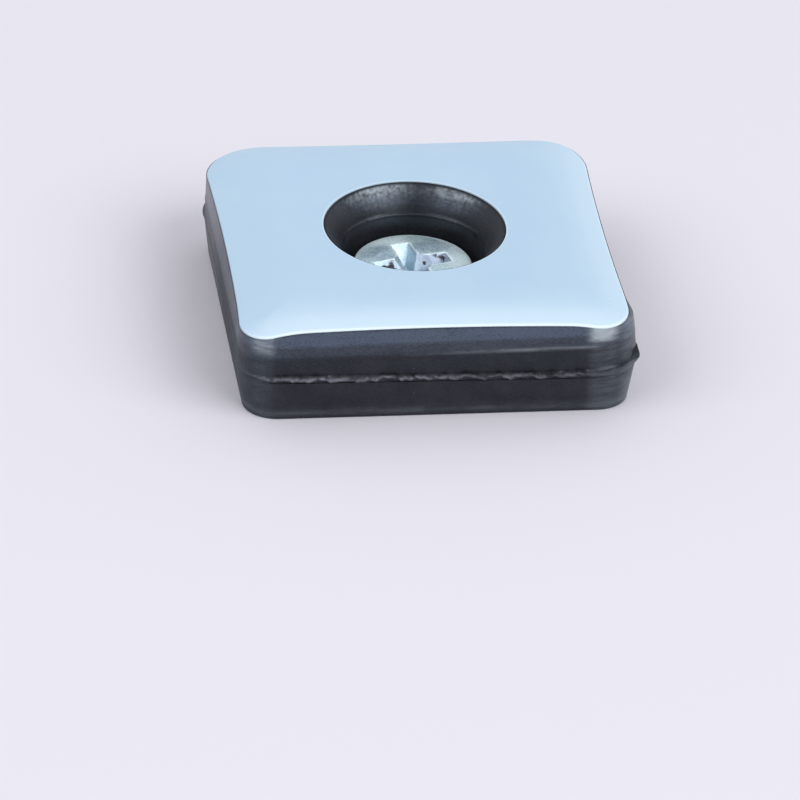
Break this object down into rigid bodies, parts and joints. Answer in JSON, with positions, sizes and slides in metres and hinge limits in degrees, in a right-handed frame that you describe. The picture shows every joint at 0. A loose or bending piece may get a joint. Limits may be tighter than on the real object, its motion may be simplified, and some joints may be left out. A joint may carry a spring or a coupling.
{
  "type": "chair leg glide",
  "caption": "Square screw-on chair leg glide: a slippery facing bonded into a moulded rubber base, fixed by a pan-head screw and washer down in a central funnel recess.",
  "frame": {"origin": "middle of the base's underside, on the screw's axis, where the glide meets the end of the chair leg", "axes": "+Z out of the leg along the screw's axis, through the sliding face; X and Y along the sides of the square"},
  "size_m": [0.0256, 0.0256, 0.0204],
  "materials": {
    "rubber": "black moulded rubber, slightly glossy where it left the mould",
    "facing": "pale grey-blue PTFE sheet, smooth and waxy",
    "zinc": "bright zinc-plated steel"
  },
  "bodies": {
    "glide": {"rubber_base": "rubber", "ptfe_facing": "facing"},
    "washer": {"washer": "zinc"},
    "screw": {"screw": "zinc"}
  },
  "joints": [
    {"name": "screw_turn", "type": "hinge", "parent": "glide", "child": "washer", "pos_m": [0, 0, 0.00165], "axis": [0, 0, 1], "range_deg": [0, 3421]},
    {"name": "screw_advance", "type": "slide", "parent": "washer", "child": "screw", "axis": [0, 0, 1], "range_m": [0, 0.0133]}
  ],
  "couplings": [
    {"joint": "screw_turn", "follows": "screw_advance", "rad_per_m": 4488}
  ]
}
